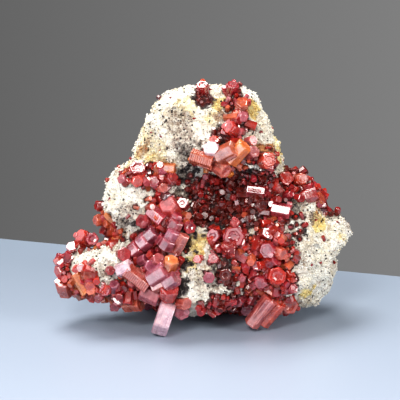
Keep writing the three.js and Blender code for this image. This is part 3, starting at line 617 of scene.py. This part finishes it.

# Stains on the rock, with painted shade in the black of some rows, as an observer at each side sees
# them: across, up and reach in mm, and how much yellow, brown, grey and black
STAINS_AND_SHADE = {FRONT: [
    (17, 27.5, 3.2, 0.9, 0.35, 0, 0),
    (6.5, 29.5, 3.6, 0.8, 0, 0, 0),
    (20, 15, 4, 0.2, 0.9, 0, 0),
    (16.5, 21, 3, 0, 0, 0.55, 0),
    (8, 25.5, 3.2, 0, 0.6, 0.3, 0.3),
    (0.8, 30.5, 3.6, 0, 0.5, 0, 0.9),
    (11, 29.5, 2.4, 0, 0, 0, 0.9),
    (7, 19.5, 3.4, 0, 0, 0.3, 0.8),
    (13.5, 22, 2.4, 0, 0, 0.2, 0.8),
    (-6.5, 22.5, 5, 0, 0.30, 0.60, 0),
    (-5, 18, 5, 0, 0.45, 0.65, 0.1),
    (-4, 14.5, 4.2, 0, 0.3, 0.6, 0.55),
    (-17.5, 15.5, 3, 0.6, 0.6, 0, 0),
    (-17, 12, 3, 0.8, 0.1, 0, 0),
    (-3.5, 27.5, 4.2, 0.42, 0, 0.1, 0),
    (3.5, 25, 3.2, 0.42, 0, 0.1, 0),
    (-15, 21, 3.5, 0.2, 0.1, 0.35, 0),
    (35.7, 2.5, 3, 0.2, 0.9, 0, 0),
    (35, -2, 2.6, 0.2, 0.9, 0, 0),
    (35.5, -6.5, 3.4, 1, 0, 0, 0),
    (32, -8.8, 1.6, 0, 0, 0, 1),
    (33, -28, 3, 0.7, 0, 0, 0),
    (43, -12.5, 3, 0.4, 0, 0, 0),
    (-3, 7, 5, 0, 0, 0.5, 0.8),
    (1.5, 2.5, 5, 0, 0, 0.7, 0.3),
    (-3, 2.5, 4.5, 0, 0, 0.8, 0.55),
    # painted shade: the vug darkened with black
    (8, -1, 11, 0, 0.2, 0.2, 1),
    (17, 3, 7, 0, 0.4, 0.2, 0.7),
    (26, 0, 5, 0, 0.3, 0.3, 0.6),
    (12, -17, 5.5, 0, 0, 0.2, 1),
    (20, -22, 8, 0, 0.2, 0.2, 0.65),
    (28, -5, 3.5, 0, 0, 0.9, 0.3),
    (26.5, -12.5, 3, 0, 0, 0.8, 0.4),
    (-6.3, -25.8, 3.2, 0, 0, 0.2, 1),
    (1, -26, 4, 0, 0.1, 0.7, 0.1),
    # painted shade: darker along the bottom of the front
    (3, -34, 8.2, 0, 0, 0.45, 0.9),
    (7, -22, 3, 0, 0, 0.4, 0.7),
    (-0.5, -12.5, 3.8, 0.75, 0, 0, 0),
    (-3.5, -17.5, 3.6, 0.7, 0, 0, 0),
    (-4, -7, 4, 0, 0.1, 0.2, 0.9),
    (-13, -10, 8, 0, 0.3, 0.2, 0.8),
    (-10, -17, 6, 0, 0.2, 0.1, 0.9),
    (-15, -25, 8, 0, 0.3, 0.2, 0.8),
    (-21, -3.6, 4, 0, 0, 0.7, 0),
    (-24, -8, 3, 0, 0.4, 0.2, 0.4),
    (-28.5, -21, 4.5, 0, 0, 0.6, 0),
    (-22, -22, 2.4, 0.6, 0, 0, 0),
    (-14, -34, 6, 0, 0.1, 0.5, 0.7),
    (-33, -30, 5, 0, 0.3, 0.3, 0.4),
], RIGHT: [
    (-8, -6, 9, 0.1, 0.4, 0.3, 0.3),
    (8, 8, 7, 0.7, 0.1, 0, 0),
    (4, -16, 6, 0.2, 0.1, 0.6, 0.1),
], BACK: [
    (6, 12, 10, 0.2, 0.4, 0.3, 0.3),
    (-14, -14, 10, 0, 0.3, 0.4, 0.4),
    (14, -12, 8, 0.6, 0, 0.1, 0),
    (-8, 20, 6, 0.6, 0, 0.1, 0),
    (0, -8, 6, 0, 0.1, 0.6, 0),
], LEFT: [
    (-10, -8, 9, 0.1, 0.4, 0.3, 0.3),
    (4, 12, 8, 0.5, 0.1, 0.2, 0),
    (6, -14, 6, 0, 0.2, 0.5, 0.2),
]}


# Where the rock's skin is pushed out or in, as seen from the front: across, up, reach, push in mm
PUSHES = [
    (45, -10.5, 3.5, 2),
    (39.5, -3.2, 4.2, -2.3),
    (43, -18.5, 5, -2.6),
    (41, -20, 3, -1.3),
    (41, -29, 3, 0.8),
    (-20, 20, 7, -0.9),
    (-6, 35, 7, -1.1),
    (4.5, 34, 4, -1.6),
    (15.5, 32.5, 3, 0.9),
    (25, 14, 4, -1.9),
    (26, 9.5, 4, -1),
]


def remeshed_rock():
    """The CAD rock with an even, fine mesh, its facets rubbed round."""
    rough = linked("rough_rock", cad_rock.data.copy())
    remesh = rough.modifiers.new("even", "REMESH")
    remesh.mode = "VOXEL"
    remesh.voxel_size = VOXEL
    smooth = rough.modifiers.new("round", "SMOOTH")
    smooth.iterations = SMOOTHING
    smooth.factor = 0.5
    graph = bpy.context.evaluated_depsgraph_get()
    mesh = bpy.data.meshes.new_from_object(rough.evaluated_get(graph))
    bpy.data.objects.remove(rough)
    return mesh


def spot(point, size, offset):
    """Where to read noise that changes over about size millimetres. Each use has an offset of its
    own, so that no two of them line up."""
    return Vector(point) / (size * MM) + Vector((offset, offset, offset))


def lumpy(point, size, offset):
    """-1 to 1, changing over about size millimetres."""
    return noise.noise(spot(point, size, offset))


def grainy(point, size, offset):
    """1 at the middle of a rounded grain of about this size, 0 in the cracks between grains."""
    near = noise.voronoi(spot(point, size, offset))[0]
    return min(1.0, (near[1] - near[0]) * 1.6)


CHIP_TILTS = (9.3, 21.7, 34.1)  # where the noise is read for each part of a chip's tilt
CHIP_STEEPNESS = 2.2
CHIP_STEP = 1.1  # how far one chip may stand above the next


def chipped(point, size, offset):
    """About -1.5 to 1.5: flat tilted chips of about this size, with a step between neighbours."""
    place = spot(point, size, offset)
    home = noise.voronoi(place)[1][0]
    level = noise.cell(home * 7.31)
    tilt = Vector([noise.noise(home * 3.7 + Vector((k, k, k))) for k in CHIP_TILTS])
    tilt *= CHIP_STEEPNESS
    return (level - 0.5) * CHIP_STEP + max(-1.0, min(1.0, (place - home).dot(tilt)))


# The unevenness of the rock's skin: the size in mm and the noise offset of each kind, and how far
# in mm each one stands out
BIG_CHIPS, CHIPS, CRUMBS, SAND = (9, 4.2), (4.2, 8.8), (2.0, 5.5), (1.1, 1.3)
RIPPLES, PITS, ROUGH_PARTS = (0.95, 2.2), (1.9, 12.4), (9, 9.7)
BIG_CHIP_OUT, CHIP_OUT, CRUMB_OUT, SAND_OUT, RIPPLE_OUT = 0.75, 0.42, 0.42, 0.34, 0.34
PIT_IN, PIT_RARITY, SKIN = 1.5, 0.42, 0.25


def weathered(point):
    """How far the rock's skin stands out here, in millimetres, and how much painted shade it gets in
    its cracks and pits.
    """
    chips = BIG_CHIP_OUT * chipped(point, *BIG_CHIPS) + CHIP_OUT * chipped(point, *CHIPS)
    crumb, sand = grainy(point, *CRUMBS), grainy(point, *SAND)
    rough = min(1.0, max(0.15, 0.55 + 1.2 * lumpy(point, *ROUGH_PARTS)))
    pit = max(0.0, lumpy(point, *PITS) - PIT_RARITY)
    out = chips + rough * (CRUMB_OUT * (crumb - 0.5) + SAND_OUT * (sand - 0.5))
    out += RIPPLE_OUT * lumpy(point, *RIPPLES) - PIT_IN * pit
    # painted shade: deeper in cracks between grains and in pits
    painted_shade = rough * (0.45 * (1 - crumb) + 0.35 * (1 - sand)) + 1.6 * pit
    return SKIN + out, painted_shade


def stain_and_shade_of(points):
    """The stains at each point, with the painted shade of some rows, their outlines broken up."""
    stains = np.zeros((len(points), 4), np.float32)
    broken = np.array([lumpy(p, 3.4, 6.1) + 0.6 * lumpy(p, 1.3, 7.7) for p in points])
    for turn, across, up, reach, *amounts in rows_of(STAINS_AND_SHADE):
        middle = np.array(cad_seat(OBSERVERS[turn], across, up))
        gap = np.linalg.norm(points - middle, axis=1) / (reach * MM) + 0.9 * broken
        fade = np.clip(2.5 * (1.15 - gap), 0, 1)
        for channel, amount in enumerate(amounts):
            stains[:, channel] = np.maximum(stains[:, channel], amount * fade)
    return stains


def push_of(points):
    """How far the pushes move each point out, in millimetres."""
    push = np.zeros(len(points))
    for across, up, reach, amount in PUSHES:
        middle = np.array(cad_seat(OBSERVERS[FRONT], across, up))
        gap = np.linalg.norm(points - middle, axis=1) / (reach * MM)
        push += amount * np.clip(1.3 - gap, 0, 1)
    return push


def values_of(mesh, name, width):
    """An attribute of a mesh, or its points or normals, as rows of numbers."""
    if name == "normal":
        source, field = mesh.vertex_normals, "vector"
    elif name == "position":
        source, field = mesh.vertices, "co"
    else:
        source, field = mesh.attributes[name].data, "color" if width == 4 else "value"
    values = np.empty(len(mesh.vertices) * width, np.float32)
    source.foreach_get(field, values)
    return values.reshape(-1, width)


def make_rock():
    """The rock's weathered skin, with the painted shade in its cracks and pits and the stains of
    each of its points, some of them painted shade.
    """
    mesh = remeshed_rock()
    points = values_of(mesh, "position", 3).astype(float)
    normals = values_of(mesh, "normal", 3).astype(float)
    skin = np.array([weathered(p) for p in points])
    out = (skin[:, 0] + push_of(points)) * np.clip(points[:, 2] / FOOT, 0, 1)
    moved = points + normals * out[:, None] * MM
    moved[:, 2] = np.where(points[:, 2] < FOOT_FLAT, 0.0, np.maximum(moved[:, 2], 0.0))
    mesh.vertices.foreach_set("co", moved.astype(np.float32).ravel())
    paint(mesh, "painted_shade", skin[:, 1])
    paint(mesh, "stain_and_shade", stain_and_shade_of(moved))
    mesh.materials.clear()
    mesh.materials.append(matrix_stone())
    mesh.update()
    piece = linked("weathered_matrix", mesh)
    finish_piece(piece, "matrix", ["matrix_rock"])
    return piece


GRAINS = 22000
GRAINS_FROM = 0.8 * MM  # no grain lies below this height
GRAIN_SIZES = (0.16, 0.44)  # mm, middle to corner
GRAIN_CORNERS = (0.65, 1.25)  # how near and far its corners may be, as a share of that
GRAIN_LIFT = 0.25  # how far its middle is above the rock, as a share of that
OCTAHEDRON = np.array([(1, 0, 0), (-1, 0, 0), (0, 1, 0), (0, -1, 0), (0, 0, 1), (0, 0, -1)])
OCTAHEDRON_FACES = np.array(
    [(0, 2, 4), (2, 1, 4), (1, 3, 4), (3, 0, 4), (2, 0, 5), (1, 2, 5), (3, 1, 5), (0, 3, 5)]
)


def make_grains(rock):
    """Sugary grains all over the bare rock: uneven octahedra, each sunk partly into it."""
    mesh = rock.data
    points, normals = values_of(mesh, "position", 3), values_of(mesh, "normal", 3)
    stain_and_shade, druse_shade = values_of(mesh, "stain_and_shade", 4), values_of(mesh, "druse_shade", 1)[:, 0]
    rng = np.random.default_rng(SEED)
    bare = np.flatnonzero((druse_shade < 0.6) & (points[:, 2] > GRAINS_FROM))
    chosen = rng.choice(bare, GRAINS, replace=False)
    size = rng.uniform(*GRAIN_SIZES, GRAINS)[:, None] * MM
    turned, _ = np.linalg.qr(rng.normal(size=(GRAINS, 3, 3)))
    turned[:, :, 0] *= np.sign(np.linalg.det(turned))[:, None]
    corners = OCTAHEDRON * rng.uniform(*GRAIN_CORNERS, (GRAINS, 6, 1)) * size[:, None]
    middles = points[chosen] + normals[chosen] * size * GRAIN_LIFT
    world = middles[:, None] + corners @ turned
    world[:, :, 2] = np.maximum(world[:, :, 2], 0)
    first = 6 * np.arange(GRAINS)[:, None, None]
    grains = bpy.data.meshes.new("matrix_grains")
    faces = (first + OCTAHEDRON_FACES).reshape(-1, 3)
    grains.from_pydata(world.reshape(-1, 3).tolist(), [], faces.tolist())
    stained_and_shaded = stain_and_shade[chosen]
    dark = rng.random(GRAINS) < 0.05 + 0.22 * stained_and_shaded[:, 2]
    stained_and_shaded[dark, 3] = 1
    paint(grains, "stain_and_shade", np.repeat(stained_and_shaded, 6, axis=0))
    paint(grains, "druse_shade", np.repeat(druse_shade[chosen], 6))
    # each grain gets a random share of the painted shade
    paint(grains, "painted_shade", np.repeat(rng.uniform(0, 0.55, GRAINS), 6))
    grains.materials.append(mesh.materials[0])
    finish_piece(linked("matrix_grains", grains), "matrix")


# ---- growing crystals
def grow(mass, rng, middle, frame_of, width, length, form, colour, root, fine=True):
    """Adds one crystal to a mass: middle in metres, width and length in millimetres. Its colour
    deepens towards its root end, down to the share root: painted shade at its foot."""
    rings = profile(form, width / 2, length, rng, fine)
    points, faces, edges = shell(*section(rng, 0.04 if fine else 0.08, fine), rings)
    local = np.array(points)
    world = local @ np.array(frame_of).T * MM + np.array(middle)
    world[:, 2] += max(0.0, -world[:, 2].min())
    tone = rng.uniform(0.8, 1.2)
    body = [c * tone * rng.uniform(0.93, 1.07) for c in colour]
    # painted shade: darker towards the root end
    rise = np.clip(local[:, 2] / length + 0.5, 0, 1)[:, None]
    shade = (root + (1 - root) * rise) * np.array(body)
    shade = np.column_stack((np.minimum(shade, 1.0), np.ones(len(shade))))
    mass.add(world, faces, shade, local[:, 2] + rng.uniform(0, 100), edges)


def tangled(rng, amount):
    """A random vector, its parts spread by about amount."""
    return Vector([rng.gauss(0, amount) for _ in range(3)])


def companions(mass, rng, middle, axis, width, length, colour, count):
    """Smaller crystals grown round a large one, nearly parallel to it, some past its end."""
    for _ in range(count):
        small = width * rng.uniform(0.26, 0.46)
        way = axis.cross(tangled(rng, 1)).normalized()
        tall = length * rng.uniform(0.5, 0.9)
        rise = length * 0.5 + rng.uniform(-0.9, 0.25) - tall * 0.5
        place = middle + (way * (width * 0.44 - small * 0.3) + axis * rise) * MM
        lean = (axis + tangled(rng, 0.04)).normalized()
        grow(mass, rng, place, basis(lean, rng.uniform(0, 60)), small, tall, "plain", colour, 0.7)


def inside(tree, place):
    """Whether place is inside a closed mesh: a line out of it crosses the mesh an odd number of
    times."""
    way = Vector((0.13, 0.29, 0.95)).normalized()
    crossings, start = 0, place.copy()
    while True:
        hit = tree.ray_cast(start, way)[0]
        if hit is None:
            return crossings % 2 == 1
        crossings += 1
        start = hit + way * 1e-6


def owner(trees, middle):
    """The CAD node that a crystal with this middle belongs to."""

    def gap(name):
        reach = trees[name].find_nearest(middle)[3]
        return -reach if inside(trees[name], middle) else reach

    return min(trees, key=gap)


def slot_of(name):
    """The slot of a piece, from words in its node's name."""
    if any(word in name for word in ("orange", "ledge", "slanting", "hopper")):
        return "vanadinite_orange"
    if any(word in name for word in ("mauve", "pink", "plate", "bright")):
        return "vanadinite_mauve"
    return "vanadinite_red"


def large_rows():
    """Each large crystal as middle, axis, roll, width, length, form, colour."""
    for turn, _, across, up, out, width, length, yaw, pitch, *rest in rows_of(LARGE):
        roll, form, colour = rest
        observer = OBSERVERS[turn]
        middle = cad_seat(observer, across, up) - observer.ray(across, up) * out * MM
        yield middle, direction(turn + yaw, pitch), roll, width, length, form, colour
    for _, place, width, length, yaw, pitch, roll, form, colour in HANGING:
        middle = Vector(place) * MM + SHIFT
        yield middle, direction(yaw, pitch), roll, width, length, form, colour


def make_large():
    """The large crystals, in one piece for each CAD node."""
    rng = random.Random(SEED)
    trees = {name: tree_of(node.data) for name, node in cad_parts.items()}
    del trees["matrix_rock"]
    masses = {name: Mass() for name in sorted(trees)}
    for middle, axis, roll, width, length, form, colour in large_rows():
        mass = masses[owner(trees, middle)]
        grow(mass, rng, middle, basis(axis, roll), width, length, form, colour, 0.75)
        count = BUNDLED[form] + round(width / 3)
        companions(mass, rng, middle, axis, width, length, colour, count)
    for name, mass in masses.items():
        slot = slot_of(name)
        mass.make(name.removesuffix("_group") + "_crystals", MATERIALS[slot], slot, [name])


# ---- the druse
# What the colours of a patch's crystals are drawn from
REDS = (DEEP, RED, RED, SCARLET, ROSE)
BRIGHT = (RED, SCARLET, SCARLET, ROSE, ORANGE, PINK_SHEEN)
WARM = (ORANGE, SCARLET, AMBER, ORANGE, ROSE)
# DARK, nearly all DEEP: painted shade on the small crystals of the vug and the pocket
DARK = (DEEP, DEEP, DEEP, RED)
BARE = 3.0  # patches spaced wider than this leave the rock bare between their crystals
DRUSE_FROM = 0.6 * MM  # no small crystal grows below this height
# Patches of small crystals, seen from each side: across, up, half-width, half-height, spacing,
# smallest and largest width, all in mm, and their colours
PATCHES = {FRONT: [
    (9, -1, 14, 8.5, 1.1, 1, 2.6, DARK),
    (-2, 3, 3.4, 4.5, 1.6, 0.9, 2, DARK),
    (13, 3.5, 15, 6, 1.15, 1, 2.7, DARK + REDS),
    (20, -2, 7.5, 8, 1.15, 1, 2.6, BRIGHT),
    (20, -21, 10, 13.5, 0.95, 1, 2.8, BRIGHT),
    (26.5, 4, 6.5, 3.4, 1.05, 1, 2.4, REDS),
    (29, -8, 3, 6, 1.9, 0.8, 1.7, REDS),
    (-15, 7, 9, 4, 0.95, 1, 2.8, BRIGHT),
    (-9.5, -4.5, 6.5, 6.5, 1, 1, 2.6, BRIGHT),
    (-14, -20, 8, 14, 1.05, 1, 2.4, REDS),
    (-23, -27, 5, 4, 1.25, 1.2, 3, BRIGHT),
    (-2, -5.5, 5, 2.6, 1.2, 1, 2.2, REDS),
    (-5, -18, 1.8, 5, 2.4, 1, 2.2, REDS),
    (4, -19, 2.8, 6, 2.6, 1.1, 2.4, BRIGHT),
    (8.5, -12, 6, 5, 1.05, 1.1, 3, BRIGHT),
    (8, -23, 4, 4, 1.4, 1, 2.4, DARK),
    (8, -31.5, 8, 3.5, 1.2, 1.1, 2.6, REDS),
    (14, -33, 6, 4, 1.2, 1.1, 2.8, BRIGHT),
    (8, 12.5, 11, 3.6, 1.2, 1.1, 2.8, WARM),
    (11, 25, 3.6, 8, 1.2, 1.1, 2.8, BRIGHT),
    (9.5, 33, 3.5, 2, 1.2, 1.1, 2.6, REDS),
    (1, 33.5, 2.2, 1.5, 1.2, 1.1, 2.4, BRIGHT),
    (0.8, 30.5, 2.6, 2.2, 0.9, 0.7, 1.3, DARK),
    (7, 19.5, 3, 2, 1.2, 0.7, 1.6, DARK),
    (-37, -13, 5, 3.2, 1.35, 1.3, 3.2, BRIGHT),
    (-41.5, -20, 2.6, 8, 1.35, 1.3, 3.2, BRIGHT),
    (-38, -27, 6, 4, 1.35, 1.3, 3.2, WARM),
    (-28, -28.5, 8, 3.8, 1.3, 1.2, 3.2, BRIGHT),
    (-33.5, -23, 2.6, 4, 1.4, 1.2, 2.8, BRIGHT),
    (-31.5, -11.5, 4, 1.8, 1.5, 1.2, 2.8, BRIGHT),
    (-28, -9.5, 3.5, 3.2, 1.4, 1.2, 2.8, REDS),
    (-29.8, -2.5, 1.4, 2.5, 1.5, 1.2, 2.6, REDS),
    (20, -32, 9, 4, 1.3, 1.2, 3, BRIGHT),
    (0, -8, 42, 24, 5, 0.7, 1.5, REDS),
    (-12, 15, 7, 6, 4, 0.4, 0.8, REDS),
], RIGHT: [
    (6, -8, 9, 10, 1.4, 1.2, 3, REDS),
    (-10, 8, 6, 6, 1.6, 1.1, 2.8, BRIGHT),
    (0, 0, 28, 34, 5, 0.6, 1.5, REDS),
], BACK: [
    (5, 12, 9, 7, 1.4, 1.2, 3, REDS),
    (-15, -14, 10, 7, 1.4, 1.2, 3, BRIGHT),
    (-22, -2, 7, 7, 1.7, 1.1, 2.8, REDS),
    (0, 0, 42, 34, 4.5, 0.6, 1.7, REDS),
], LEFT: [
    (-10, -6, 7, 8, 1.4, 1.2, 3, REDS),
    (0, -18, 12, 7, 1.4, 1.2, 3, WARM),
    (0, 0, 28, 34, 5, 0.6, 1.5, REDS),
]}


def make_druse_shade(rock, crowded):
    """Paints the rock dark red round the places where small crystals crowd: painted shade in the
    gaps between them.
    """
    near = KDTree(len(crowded))
    for k, place in enumerate(crowded):
        near.insert(place, k)
    near.balance()
    mesh = rock.data
    gaps = np.array([near.find(v.co)[2] for v in mesh.vertices], np.float32) / MM
    paint(mesh, "druse_shade", np.clip(2.0 - 1.3 * gaps, 0, 1))


class Spacing:
    """Remembers where things are, and says whether a place is clear."""

    def __init__(self, cell):
        self.cell = cell
        self.kept = {}

    def key(self, place):
        return tuple(math.floor(v / self.cell) for v in place)

    def clear(self, place, gap):
        x, y, z = self.key(place)
        near = (
            other
            for i in (-1, 0, 1)
            for j in (-1, 0, 1)
            for k in (-1, 0, 1)
            for other in self.kept.get((x + i, y + j, z + k), ())
        )
        return all((other - place).length > gap for other in near)

    def keep(self, place):
        self.kept.setdefault(self.key(place), []).append(place)


def seats(rng, turn, across, up, wide, high, spacing, taken):
    """Places on the rock in one patch, as seen by an observer, with the rock's normal there."""
    observer = OBSERVERS[turn]
    tries = int(math.pi * wide * high / spacing**2 * 7)
    for _ in range(tries):
        reach, way = math.sqrt(rng.random()), rng.uniform(0, 2 * math.pi)
        a = across + wide * reach * math.cos(way)
        b = up + high * reach * math.sin(way)
        if rng.random() < reach**6 * 0.7:
            continue
        place, normal, _, _ = rock_tree.ray_cast(observer.eye, observer.ray(a, b))
        if place is None or place.z < DRUSE_FROM:
            continue
        if reach > 0.7 and lumpy(place, 3.2, 3.9) < reach - 0.95:
            continue
        if taken.clear(place, spacing * MM):
            taken.keep(place)
            yield place, normal


def make_druse():
    """The small crystals of every patch. Gives back the places where they crowd."""
    rng = random.Random(SEED + 1)
    masses = {slot: Mass() for slot in MATERIALS}
    taken = Spacing(6 * MM)
    crowded = []
    for turn, across, up, wide, high, spacing, least, most, palette in rows_of(PATCHES):
        for place, normal in seats(rng, turn, across, up, wide, high, spacing, taken):
            if spacing <= BARE:
                crowded.append(place)
            width = least + (most - least) * rng.random() ** 1.6
            length = width * rng.uniform(0.75, 1.7)
            axis = (normal * 0.5 + tangled(rng, 0.7)).normalized()
            colour = rng.choice(palette)
            slot = "vanadinite_orange" if colour in (ORANGE, AMBER) else "vanadinite_red"
            if colour in (PINK_SHEEN, MAUVE_SHEEN):
                slot = "vanadinite_mauve"
            middle = place + axis * length * 0.22 * MM
            form = rng.choice(("plain", "plain", "barrel"))
            frame_of = basis(axis, rng.uniform(0, 60))
            # a small crystal's root gets strong painted shade, down to 0.3
            grow(masses[slot], rng, middle, frame_of, width, length, form, colour, 0.3, False)
    for slot, mass in masses.items():
        mass.make("druse_" + slot.removeprefix("vanadinite_"), DRUSE_MATERIALS[slot], slot)
    return crowded


# ---- the room
TABLE_CORNERS = ((-0.9, -0.9), (0.9, -0.9), (0.9, -0.237), (-0.9, 0.348))  # metres
# TABLE_FAR is darker than TABLE_NEAR: painted shade, the light falling off towards the back
TABLE_NEAR, TABLE_FAR = (0.46, 0.52, 0.63), (0.24, 0.29, 0.36)  # its colour in front and behind
STUDIO_LEFT, STUDIO_RIGHT = 0.13, 0.215  # how light the wall behind is
STUDIO_LIGHT = 0.35  # how much the studio lights the specimen, as a share of what it shows
LENS, SENSOR = 150, 36  # mm

# The lamps: name, place, width and height in metres, watts, tint. All aim at the specimen.
LAMPS = (
    ("window", (-0.18, 0.30, 0.92), (0.6, 0.4), 9.6, (1.0, 0.99, 0.97)),
    ("sky", (-0.60, -0.10, 0.70), (0.8, 0.6), 2.2, (0.92, 0.94, 1.0)),
    ("wall", (-0.85, -0.85, 0.25), (0.9, 0.6), 3.6, (0.97, 0.95, 1.0)),
    ("card", (-0.80, -0.82, 0.08), (0.35, 0.30), 1.1, (0.98, 0.93, 1.0)),
    ("doorway", (0.06, -1.10, 0.48), (0.5, 0.35), 1.0, (1.0, 0.97, 1.0)),
    ("front", (-0.24, -0.74, 0.70), (0.30, 0.30), 5.2, (1.0, 0.98, 0.94)),
    ("right", (0.86, -0.50, 0.42), (0.35, 0.35), 6.0, (1.0, 0.98, 0.96)),
)


def make_floor():
    """The table top: its far edge runs slantwise behind the specimen."""
    mesh = bpy.data.meshes.new("table_top")
    mesh.from_pydata([(x, y, 0) for x, y in TABLE_CORNERS], [], [(0, 1, 2, 3)])
    n = Nodes(bpy.data.materials.new("table_paint"))
    where = n.place()
    depth = n.add("ShaderNodeSeparateXYZ", {"Vector": where}).outputs["Y"]
    # painted shade: the table darkens towards the back
    colour = n.mix(n.ramp(depth, -0.16, 0.08), TABLE_NEAR, TABLE_FAR)
    grain = n.bump(n.noise(where, 300, 4), 0.05, 0.0002)
    mesh.materials.append(n.finish(Base_Color=colour, Roughness=0.45, Normal=grain))
    floor = linked("table_top", mesh)


def make_lamp(name, place, size, power, tint):
    light = bpy.data.lights.new(name, "AREA")
    light.shape = "RECTANGLE"
    light.size, light.size_y = size
    light.energy = power
    light.color = tint
    holder = linked(name, light)
    holder.location = place
    holder.rotation_euler = (MIDDLE - Vector(place)).to_track_quat("-Z", "Y").to_euler()


def make_world():
    """A grey studio, lighter to the right. It lights the specimen less than it shows."""
    n = Nodes(bpy.data.worlds.new("studio"))
    across = n.add("ShaderNodeSeparateXYZ", {"Vector": n.place("Generated")}).outputs["X"]
    shown = n.add("ShaderNodeLightPath").outputs["Is Camera Ray"]
    bpy.context.scene.world = n.finish(
        "Background",
        Color=n.ramp(across, -0.14, 0.14, STUDIO_LEFT, STUDIO_RIGHT),
        Strength=n.ramp(shown, 0.0, 1.0, STUDIO_LIGHT, 1.0),
    )


def make_camera():
    data = bpy.data.cameras.new("camera")
    data.sensor_width = SENSOR
    data.lens = LENS
    data.clip_start = 10 * MM
    camera = linked("camera", data)
    observer = OBSERVERS[FRONT]
    camera.location = observer.eye
    camera.rotation_euler = (-observer.towards).to_track_quat("-Z", "Y").to_euler()
    bpy.context.scene.camera = camera


rock = make_rock()
rock_tree = tree_of(rock.data)
make_large()
make_druse_shade(rock, make_druse())
make_grains(rock)
make_floor()
make_world()
for row in LAMPS:
    make_lamp(*row)
make_camera()
bpy.context.scene.view_settings.view_transform = "Standard"
bpy.context.scene.view_settings.look = "Medium High Contrast"
